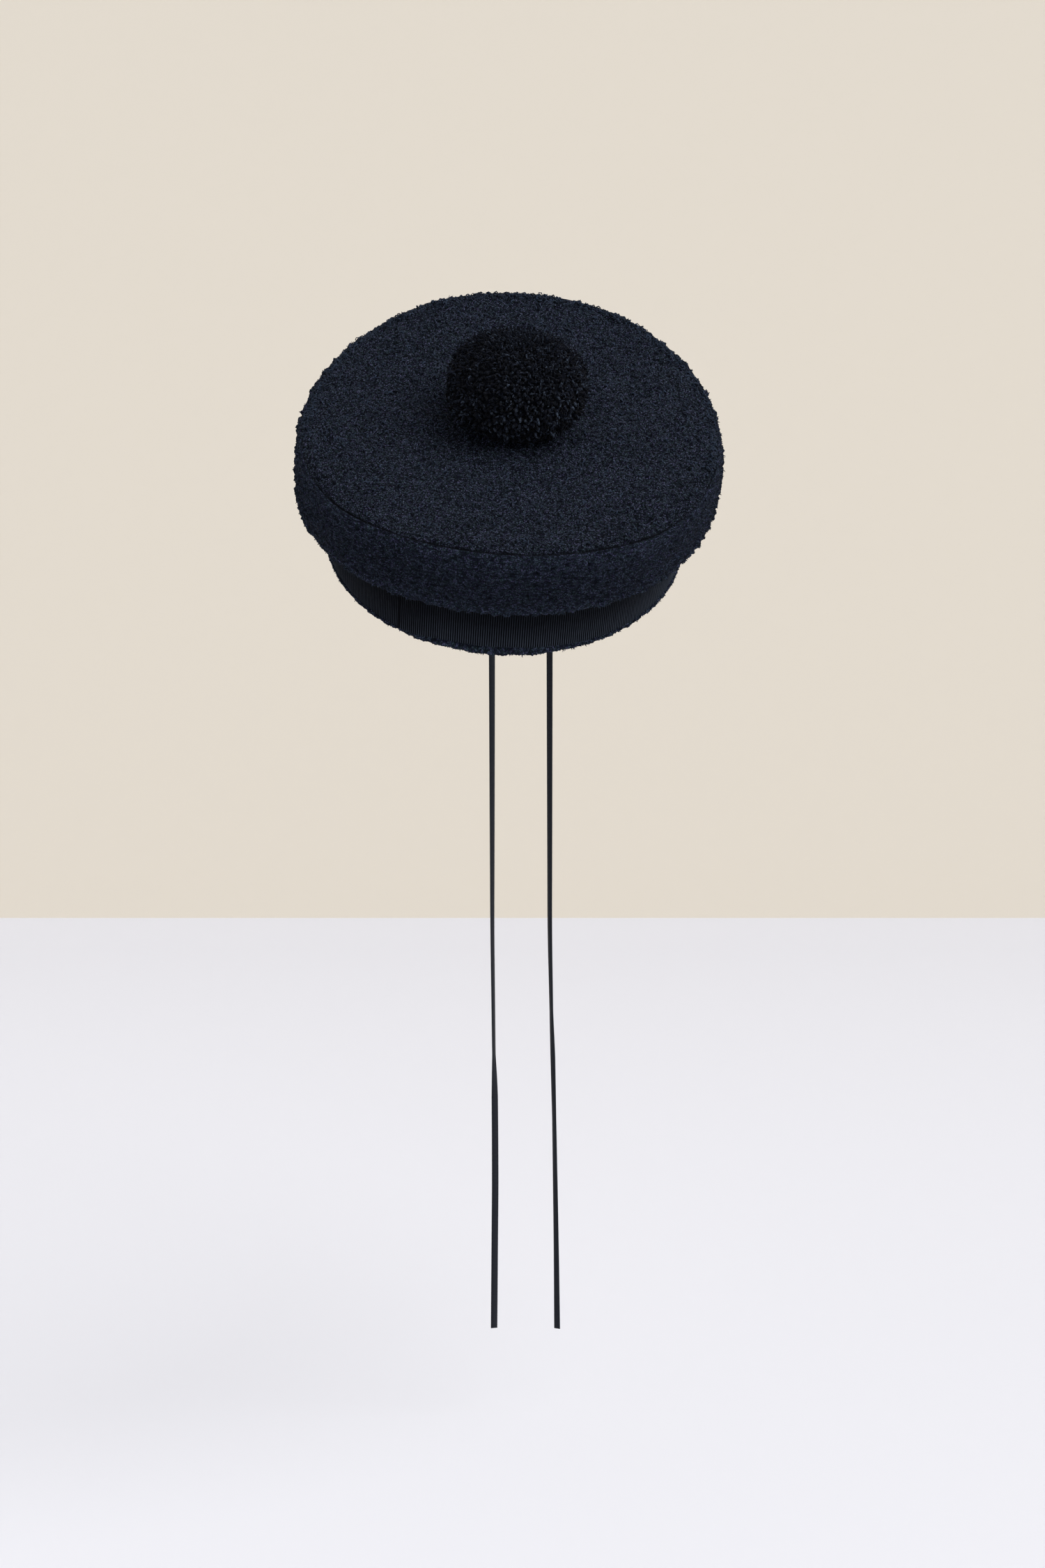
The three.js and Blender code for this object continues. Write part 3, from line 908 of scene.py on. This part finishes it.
# %% Loop yarn material
# Gives the eye single matt strands, from nearly black to slate blue.
tweed_yarn, tree, shader = new_material("boucle_yarn_loops", {
    "Roughness": 0.9, "Specular IOR Level": 0.08, "Sheen Weight": 0.03,
    "Sheen Roughness": 0.5})
tone = add_node(tree, "ShaderNodeAttribute", attribute_name="value").outputs["Fac"]
fuzz = add_node(tree, "ShaderNodeTexNoise", {
    "Vector": add_node(tree, "ShaderNodeTexCoord").outputs["Object"],
    "Scale": per_metre(0.5), "Detail": 1.0}).outputs["Fac"]
light = add_node(tree, "ShaderNodeMath", {0: tone, 1: 0.7, 2: add_node(
    tree, "ShaderNodeMath", {0: fuzz, 1: 0.3}, operation="MULTIPLY").outputs[0]},
    operation="MULTIPLY_ADD").outputs[0]
dye(tree, shader, light, {0.0: "#0a0f17", 1.0: "#303b4d"})
print("Loop yarn:", tweed_yarn.name)

# %% [markdown]
# ## Loops on the crown top
#
# They stand everywhere but on the seam, closer together behind, and closest along the
# rim at the sides and behind, where they make the crown's outline.

# %% Loops on the crown top
def loop_piece(name, points, faces, count, wanted, seed, radius, thick, tilts):
    """A piece of count loops whose feet are sunk 0.1 mm into the cloth. radius, thick
    and tilts are each a smallest and a largest, in mm and degrees."""
    rng = np.random.default_rng(seed)
    place, normal = scatter(points.reshape(-1, 3), faces, count, rng, wanted.ravel())
    loops, walls, ends = yarn_loops(place - 0.1 * normal, normal, rng, radius, thick,
                                    tilts)
    tone = np.repeat(rng.random(count), LOOP_STATIONS * 3)
    return piece(name, worn(loops), [walls, ends], tweed_yarn, values=tone)


backwards = np.sin(top_angle)
wanted = (0.6 * smoothstep(from_seam, 1.6, 3) + 0.4 * (backwards > -0.3)
          + 6 * (backwards > -0.2) * (from_seam < 4))
loop_piece("crown_top_loops", top, top_quads, 5200, wanted, 5, (0.5, 1.3),
           (0.24, 0.44), (5, 88))

# %% [markdown]
# ## Head band
#
# The band is an upright strip of the same tweed. The ribbon hides nearly all of it, and
# only its folded lower edge shows, broadest in front. So the section has close rows of
# points round the fold, which carry the curls, and one plain wall above them.

# %% Edge of the head band
EDGE_SHOWN, EDGE_SHOWN_FRONT = 2, 4.6
EDGE_FRONT_ANGLE, EDGE_FRONT_SPREAD = np.radians(-88), np.radians(34)
EDGE_ROWS = [
    # offset, height where the ribbon's foot is 1 high
    (0, 0.95), (0.9, 0.9), (1.5, 0.62), (1.5, 0.3), (0.9, 0.02), (0, -0.1),
    (-1.2, 0.05), (-2.0, 0.35), (-2.2, 0.8)]


def ribbon_foot(angle):
    """Height of the ribbon's lower edge: 2 mm, and up to 4.6 mm in front by a cosine
    over 34 degrees to each side."""
    away = np.abs(np.angle(np.exp(1j * (angle - EDGE_FRONT_ANGLE))))
    share = np.cos(np.minimum(away / EDGE_FRONT_SPREAD, 1) * np.pi / 2)
    return EDGE_SHOWN + (EDGE_SHOWN_FRONT - EDGE_SHOWN) * share


def edge_shift(offset, height, angle):
    """No shift outwards. Upwards, the folded edge grows with the ribbon's foot."""
    grows = np.where(height < BAND_TOP, np.maximum(height, 0) / EDGE_SHOWN, 0)
    return 0 * angle, grows * (ribbon_foot(angle) - EDGE_SHOWN)


edge_line = smooth_line(np.multiply(EDGE_ROWS, (1, EDGE_SHOWN)), 0.55)
band_section = np.vstack([[(0, BAND_TOP)], edge_line, [(-BAND_WALL, BAND_TOP)]])
band_angles = BACK + np.arange(1080) * 2 * np.pi / 1080
band = ring_round_head(band_section, band_angles, edge_shift)
band_normals = grid_normals(band, True, True)
band_normals *= np.sign((band_normals[4] * band[4]).sum())
print("Edge shown in front:", ribbon_foot(EDGE_FRONT_ANGLE), "mm")

# %% Head band piece
on_edge = np.r_[0, np.sin(np.linspace(0.15, np.pi - 0.1, len(edge_line))), 0][:, None]
band += (on_edge * (0.35 * curly_ridges(band, 1.7, 51) + 0.3 * knots(band)
                    + 0.3 * value_noise(band, 3.1, 55)))[..., None] * band_normals
band_quads, i, j = grid_quads(len(band_section), len(band_angles), True, True)
# Painted light: the cloth's "value" rises to 1.9 along the folded edge below the
# ribbon.
head_band = piece("head_band_cloth", worn(band.reshape(-1, 3)), [band_quads],
                  tweed_rows,
                  uv=[cloth_uv(band_section, band_angles, i, j)],
                  values=1 + 0.9 * on_edge + np.zeros(band.shape[:2]))
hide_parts("head_band")

# %% [markdown]
# ## Black grosgrain
#
# Grosgrain is woven with thick weft threads that make fine ribs across the ribbon. The
# warp over them is silky but the ribs break up its gloss. The crests are a dim grey as
# a painted highlight and the valleys black as painted shade. Slow unevenness in the
# thread varies that from rib to rib.

# %% Grosgrain material
# Gives the eye fine grey lines on black, with hardly any gloss.
grosgrain, tree, shader = new_material("black_grosgrain_ribbon", {
    "Roughness": 0.6, "Specular IOR Level": 0.03, "Sheen Weight": 0.01})
painted_rib_light_and_shade = add_node(tree, "ShaderNodeAttribute", attribute_name="value").outputs["Fac"]
place = add_node(tree, "ShaderNodeTexCoord").outputs["Object"]
slub = add_node(tree, "ShaderNodeTexNoise", {
    "Vector": place, "Scale": per_metre(2.5), "Detail": 2.0}).outputs["Fac"]
thread = add_node(tree, "ShaderNodeTexNoise", {
    "Vector": place, "Scale": per_metre(0.35), "Detail": 1.0}).outputs["Fac"]
# Painted highlight on the rib crests and painted shade in the valleys, from the mesh's
# "value".
light = add_node(tree, "ShaderNodeMath", {0: painted_rib_light_and_shade, 1: 0.85, 2: add_node(
    tree, "ShaderNodeMath", {0: slub, 1: 0.2}, operation="MULTIPLY").outputs[0]},
    operation="MULTIPLY_ADD").outputs[0]
dye(tree, shader, light, {0.2: "#010206", 0.95: "#383f49"}, (thread, 0.5, 0.0002))
print("Ribbon:", grosgrain.name)

# %% [markdown]
# ## Form of the ribbon
#
# The ribs are 1.2 mm apart and are real relief: rounded threads with a sharp valley
# between, which is the size of a cosine. They end in a row of tiny rounded turns along
# each edge. The strip starts over its own end in front of the wearer's right temple,
# so near its start it climbs over the thickness of the layer below.

# %% Ribbon form
RIBBON_THICK, RIBBON_TOP, RIB, STATIONS_PER_RIB = 0.7, 30, 1.2, 6
LAP_ANGLE, LAP, CLIMB = np.radians([-118.5, 6, 8])
RIBBON_ROWS = [
    # outward from the ribbon's inner face, share of the height, part of the rib
    (0.12, 0.0, 0.2), (0.45, -0.006, 0.8), (0.62, 0.006, 1), (0.66, 0.03, 1),
    (0.66, 0.35, 1), (0.66, 0.52, 1), (0.66, 0.7, 1), (0.66, 0.97, 1), (0.4, 1.0, 0.5),
    (0.1, 0.99, 0), (0.1, 0.5, 0)]
full_turn = 2 * np.pi + LAP
rib_count = round(full_turn * (HALF_WIDTH + HALF_LENGTH) / 2 / RIB)
station = np.arange(STATIONS_PER_RIB * rib_count + 1)
turned = np.linspace(0, full_turn, len(station))
crest = np.abs(np.cos(np.pi * station / STATIONS_PER_RIB))
over = smoothstep((LAP + CLIMB - turned) / CLIMB, 0, 1) * (RIBBON_THICK + GAP)
ribbon_angle = LAP_ANGLE + turned
out, up, ribbed = np.array(RIBBON_ROWS).T[:, :, None]
drift = 0.14 * value_noise(np.stack([
    90 * np.cos(ribbon_angle), 90 * np.sin(ribbon_angle), 0 * turned], -1), 11, 61)
offset = GAP + out + over + 0.5 * (crest - 0.8) * ribbed + drift * (ribbed > 0)
bottom = ribbon_foot(ribbon_angle) - 0.45 * crest * (up < 0.02)
height = bottom + up * (RIBBON_TOP - bottom)
ribbon = np.stack([(HALF_WIDTH + offset) * np.cos(ribbon_angle),
                   (HALF_LENGTH + offset) * np.sin(ribbon_angle), height], -1)
print("Ribs round the ribbon:", rib_count)

# %% [markdown]
# ## Where the ribbon lies in shade
#
# The ribbon stands under the overhang of the crown, deepest in shade near its top in
# front, and on the wearer's right. That shade is painted: the "value" of each crest,
# which the material turns to grey, fades towards those places. The two ends of the lap
# are painted shadow lines, dark where the cut edge stands over the layer below.

# %% Ribbon piece
# Painted shade under the crown's overhang, deepest at the top in front and on the
# wearer's right.
painted_overhang_shade = smoothstep(up, 0, 0.65) * (
    0.3 + 0.35 * smoothstep(-np.sin(ribbon_angle), 0, 0.7))
painted_overhang_shade += 0.35 * (1 - painted_overhang_shade) * smoothstep(-np.cos(ribbon_angle), 0.2, 0.45)
# Painted shadow lines at the two ends of the lap.
painted_lap_shadow = np.exp(-((turned - 2 * np.pi + 0.004) / 0.007) ** 2) + (turned < 0.004)
# Painted highlight on each crest, dimmed by the painted shade and shadow lines above.
painted_rib_gleam = crest ** 4 * (1 - 0.6 * np.minimum(painted_lap_shadow, 1)) * (1 - painted_overhang_shade)
quads, _, _ = grid_quads(len(RIBBON_ROWS), len(turned), wrap_rows=True)
columns = np.arange(len(RIBBON_ROWS))[None] * len(turned)
caps = np.vstack([columns, columns[:, ::-1] + len(turned) - 1])
ribbon_piece = piece("ribbon_grosgrain", worn(ribbon.reshape(-1, 3)), [quads, caps],
                     grosgrain, values=painted_rib_gleam)
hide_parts("ribbon_band")

# %% [markdown]
# ## Loops on the side and on the band's edge
#
# The side is as loopy as the top, and the rolled lower edge most of all, because the
# cloth opens where it bends. The folded edge of the band shows as a nubby line below
# the ribbon, so it gets smaller loops. The quads are taken the other way round here, so
# that the loops stand outwards.

# %% Loops on the side and the band's edge
on_roll = np.exp(-((along - 34.5) / 2.2) ** 2)
wanted = (outside_only((1 - smoothstep(along, 38, 41)) * (1 + 3 * on_roll))
          * (1 - in_front(side_angles) * (outside_only(along) < 2)))
loop_piece("crown_side_loops", wall, side_quads[:, ::-1], 5200, wanted, 6, (0.4, 1.2),
           (0.2, 0.34), (5, 88))
wanted = on_edge * (band_normals[..., 2] < 0.6)
loop_piece("band_edge_loops", band, band_quads[:, ::-1], 1300, wanted, 7, (0.35, 1),
           (0.22, 0.34), (5, 85))

# %% [markdown]
# ## Pompom
#
# A pompom is a tied bundle of boucle yarn trimmed to a ball, so its surface is nothing
# but cut yarn ends with deep shadow between them. It is built from the inside out: a
# dark uneven ball that closes the gaps, whose near-black is painted shade of the deep
# yarn, then the yarn ends on it. The ball lies on the crown, flattened, and its
# underside is cut off level where it is pressed on the cloth.

# %% Pompom ball
BALL = np.array([34.4, 32.2, 24.2])  # mm from the middle to each side
BALL_POWER = 2.2
BALL_PLACE = np.array([1.4, 0.8, 87.2])
BALL_TILT = np.arctan(SEAM_BACK_LIFT / (HALF_LENGTH + SEAM_OFFSET))
BALL_RINGS, BALL_COLUMNS = 99, 190
seat = TOP_MIDDLE + GAP - BALL_PLACE[2]


def on_ball(direction, depth=0):
    """A rounded box rather than an egg: |x/a|^p + |y/b|^p + |z/c|^p = 1, with p = 2.2.
    depth is how far below that surface the point lies, along its direction."""
    reach = (np.abs(direction / BALL) ** BALL_POWER).sum(-1, keepdims=True)
    return direction * (reach ** (-1 / BALL_POWER) - depth)


def ball_to_hat(points):
    """The ball's own level place, tipped back to lie on the crown and moved there."""
    return points @ turn_matrix(0, BALL_TILT).T + BALL_PLACE


print("Pompom is", 2 * BALL, "mm before it is pressed on the crown")

# %% Ball surface
lat = np.linspace(-np.pi / 2, np.pi / 2, BALL_RINGS + 2)[1:-1, None]
lon = (np.arange(BALL_COLUMNS) / BALL_COLUMNS * 2 * np.pi)[None, :]
ball = np.stack([np.cos(lat) * np.cos(lon), np.cos(lat) * np.sin(lon),
                 np.sin(lat) + 0 * lon], -1)
ball = on_ball(ball, 2 - 0.8 * value_noise(ball * 35, 6, 71)[..., None])
ball[..., 2] = np.maximum(ball[..., 2], seat)
poles = np.array([[0, 0, seat], [0, 0, ball[-1, :, 2].mean()]])
ball_points = np.vstack([ball.reshape(-1, 3), poles])
ball_quads = grid_quads(BALL_RINGS, BALL_COLUMNS, wrap_columns=True)[0][:, ::-1]
ring = np.arange(BALL_COLUMNS)
next_ring = np.roll(ring, -1)
low_pole = np.full(BALL_COLUMNS, BALL_RINGS * BALL_COLUMNS)
top_ring = (BALL_RINGS - 1) * BALL_COLUMNS
low_fan = np.stack([next_ring, ring, low_pole], -1)
high_fan = np.stack([top_ring + ring, top_ring + next_ring, low_pole + 1], -1)
print("Pompom ball, mm:", np.round(np.ptp(ball_points, axis=0), 1))

# %% [markdown]
# ## Yarn of the pompom
#
# It is the same navy wool, seen end on, so it is darker than the cloth. Each end is a
# crinkled curl. A distorted noise makes the crinkle, and the "value" on the mesh is how
# much light reaches that part of the yarn: none at the root, most at the tip.

# %% Pompom material
# Gives the eye matt blue-black yarn whose tips alone are slate grey.
yarn_ends, tree, shader = new_material("cut_boucle_yarn", {
    "Roughness": 0.9, "Specular IOR Level": 0.06, "Sheen Weight": 0.02})
value = add_node(tree, "ShaderNodeAttribute", attribute_name="value").outputs["Fac"]
crinkle = add_node(tree, "ShaderNodeTexNoise", {
    "Vector": add_node(tree, "ShaderNodeTexCoord").outputs["Object"],
    "Scale": per_metre(0.8), "Detail": 2.0, "Distortion": 1.0}).outputs["Fac"]
light = add_node(tree, "ShaderNodeMath", {0: value, 1: add_node(
    tree, "ShaderNodeMapRange", {
        "Value": crinkle, "From Min": 0.35, "From Max": 0.65,
        "To Min": 0.4, "To Max": 1.2}).outputs[0]}, operation="MULTIPLY").outputs[0]
dye(tree, shader, light, {0.0: "#030408", 0.45: "#141824", 1.0: "#3d4654"},
    (crinkle, 0.8, 0.0005))
print("Pompom yarn:", yarn_ends.name)

# %% Pompom ball piece
# Painted shade: a "value" of 0.05 makes the core ball nearly black.
pompom = piece("pompom_ball", worn(ball_to_hat(ball_points)),
               [ball_quads, low_fan, high_fan], yarn_ends,
               values=np.full(len(ball_points), 0.05))
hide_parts("pompom")

# %% [markdown]
# ## Cut yarn ends
#
# A few thousand short bent tufts, each 1 to 2 mm thick, stand on the ball. The golden
# angle spreads them evenly with no rows, and a little randomness hides that order.
# Their tips are trimmed to the ball's outline, not quite evenly, as scissors do. They
# are four-sided tubes with four stations, so that thousands of them stay light.

# %% Shape of the tufts
TUFTS, TUFT_SIDES = 5600, 4
TUFT_TAPER = [0.7, 1, 1.05, 0.55]  # from root to tip
TUFT_LIGHT = [0.1, 0.3, 0.9, 1]
rng = np.random.default_rng(9)
number = np.arange(TUFTS)
z = 1 - 2 * (number + 0.5) / TUFTS
turn = number * np.pi * (3 - np.sqrt(5))
toward = np.stack([np.sqrt(1 - z * z) * np.cos(turn), np.sqrt(1 - z * z) * np.sin(turn),
                   z], -1) + rng.normal(0, 0.022, (TUFTS, 3))
toward /= np.linalg.norm(toward, axis=1, keepdims=True)
root, tip = on_ball(toward, 2.2), on_ball(toward, rng.normal(0.1, 0.22, (TUFTS, 1)))
lean = rng.normal(0, 0.8, (TUFTS, 3))
steps = np.linspace(0, 1, len(TUFT_TAPER))[None, :, None]
middle = root[:, None] + steps * (tip - root)[:, None] + steps ** 2 * lean[:, None]
across = np.cross(toward, [0.31, 0.52, 0.8])
across /= np.linalg.norm(across, axis=1, keepdims=True)
across = np.broadcast_to(across[:, None], middle.shape)
third = np.cross(np.broadcast_to(toward[:, None], middle.shape), across)
on_top = smoothstep(toward[:, 2], -0.3, 0.7)
thick = (rng.uniform(0.55, 1.0, (TUFTS, 1)) * (1.1 - 0.35 * on_top[:, None])
         * TUFT_TAPER)
standing = middle[:, :, 2].min(1) > seat + 1
tufts, walls, ends = tubes(middle[standing], across[standing], third[standing],
                           thick[standing], TUFT_SIDES)
print("Tufts that stand clear of the crown:", standing.sum())

# %% [markdown]
# ## Light and dark among the tufts
#
# A pompom's brightest ends are single ones, because most lie a little below their
# neighbours. So a few tufts are light and most are dark, more even on top and in
# stronger contrast lower down. Painted shade darkens them towards the cloth, and high
# on the wearer's right, which is turned away from the ceiling light.

# %% Tuft piece
# Painted shade near the cloth, where the ball overhangs it.
painted_shade_by_cloth = 1 - smoothstep(tip[:, 2] - seat, 1, 9)
turned_away = (smoothstep(-toward[:, 0], -0.3, 0.5)
               * smoothstep(toward[:, 2], -0.1, 0.3)
               * (1 - smoothstep(toward[:, 2], 0.75, 0.95)))
tone = rng.random(TUFTS) ** 2.4
tone = (((1 - on_top) * 1.45 * tone + on_top * (0.34 + 0.7 * tone))
        * (1 - 0.8 * painted_shade_by_cloth) * (1 - 0.4 * turned_away))[standing]
tone = (np.repeat(tone, len(TUFT_LIGHT) * TUFT_SIDES)
        * np.tile(np.repeat(TUFT_LIGHT, TUFT_SIDES), standing.sum()))
piece("pompom_tufts", worn(ball_to_hat(tufts)), [walls, ends], yarn_ends,
      values=tone)

# %% [markdown]
# ## Crinkled ends
#
# Boucle yarn keeps its loops when it is cut, so small arcs of it stand out among the
# straight ends. They are the same loops as on the cloth, set just outside the ball.

# %% Crinkled ends
above = ball.reshape(-1, 3)[:, 2] > seat + 0.5
place, normal = scatter(ball.reshape(-1, 3), ball_quads, 1800, rng, above * 1.0)
loops, walls, ends = yarn_loops(place + 1.4 * normal, normal, rng, (0.5, 1.2),
                                (0.3, 0.5), (0, 88))
loops[:, 2] = np.maximum(loops[:, 2], seat)
# Painted shade near the cloth, as for the tufts.
painted_shade_by_cloth = 1 - smoothstep(place[:, 2] - seat, 1, 9)
tone = rng.random(len(place)) ** 1.5 * (1 - 0.8 * painted_shade_by_cloth)
piece("pompom_crinkled_ends", worn(ball_to_hat(loops)), [walls, ends], yarn_ends,
      values=np.repeat(tone, LOOP_STATIONS * 3))

# %% [markdown]
# ## Stage
#
# A sheet of cool white paper for the floor and a warm cream cloth behind it, both plain
# and matt. The paper is a little brighter near the lights, so its colour changes slowly
# with how far back it lies.

# %% Stage
FLOOR, REAR = -0.48, 2.373
PAPER_DIM_AT, PAPER_BRIGHT_AT = 2.05, -0.16
floor_paper, tree, shader = new_material("floor_paper", {"Roughness": 0.9})
depth = add_node(tree, "ShaderNodeSeparateXYZ", {
    "Vector": add_node(tree, "ShaderNodeTexCoord").outputs["Object"]}).outputs["Y"]
light = add_node(tree, "ShaderNodeMapRange", {
    "Value": depth, "From Min": PAPER_DIM_AT,
    "From Max": PAPER_BRIGHT_AT}).outputs["Result"]
dye(tree, shader, light, {0.0: "#d8d9e1", 1.0: "#eaebf3"})
backdrop_cloth, _, _ = new_material("backdrop_cloth", {
    "Roughness": 0.95, "Base Color": linear("#dfd7c9")})


def stage_sheet(name, corners, material):
    """One flat quad that is part of the stage, not of the hat."""
    mesh = bpy.data.meshes.new(name)
    mesh.from_pydata(corners, [], [(0, 1, 2, 3)])
    mesh.materials.append(material)
    made = bpy.data.objects.new(name, mesh)
    bpy.context.scene.collection.objects.link(made)


stage_sheet("floor", [(-6, -6, FLOOR), (6, -6, FLOOR), (6, REAR, FLOOR),
                      (-6, REAR, FLOOR)], floor_paper)
stage_sheet("backdrop", [(-6, REAR, FLOOR), (6, REAR, FLOOR), (6, REAR, 4),
                         (-6, REAR, 4)], backdrop_cloth)

# %% [markdown]
# ## Light
#
# The light is that of a bright room. Most comes from a lit ceiling in front and to the
# wearer's left, a little from a window on the other side, and some, low down, from a
# white wall on the left. Area lamps would fall off across the floor, so each source is
# a sun with a wide disc, which gives the same soft light everywhere, and a white world
# fills the rest.

# %% Light
SOFT, FILL = 60, 0.5  # width of each source in degrees, strength of the world


def sky_light(name, comes_from, strength):
    """A sun lamp that shines from that place to the middle, from a wide disc."""
    data = bpy.data.lights.new(name, "SUN")
    data.angle, data.energy = math.radians(SOFT), strength
    made = bpy.data.objects.new(name, data)
    made.location = comes_from
    made.rotation_euler = Vector(comes_from).to_track_quat("Z", "Y").to_euler()
    bpy.context.scene.collection.objects.link(made)


sky_light("lit_ceiling", (1.2, -0.95, 1.45), 2.05)
sky_light("window_side", (-1.2, -0.8, 0.8), 0.3)
sky_light("white_wall_side", (1.6, -0.35, 0.2), 0.7)
world = bpy.data.worlds.new("studio")
world.use_nodes = True
background = world.node_tree.nodes["Background"].inputs
background["Color"].default_value = (1, 1, 1, 1)
background["Strength"].default_value = FILL
bpy.context.scene.world = world
bpy.context.scene.view_settings.view_transform = "Standard"
print("Lamps:", len(bpy.data.lights))

# %% [markdown]
# ## Finish
#
# The last line prints how many triangles the pieces have in all.

# %% Finish
print("Triangles in all:", sum(made_triangles.values()))
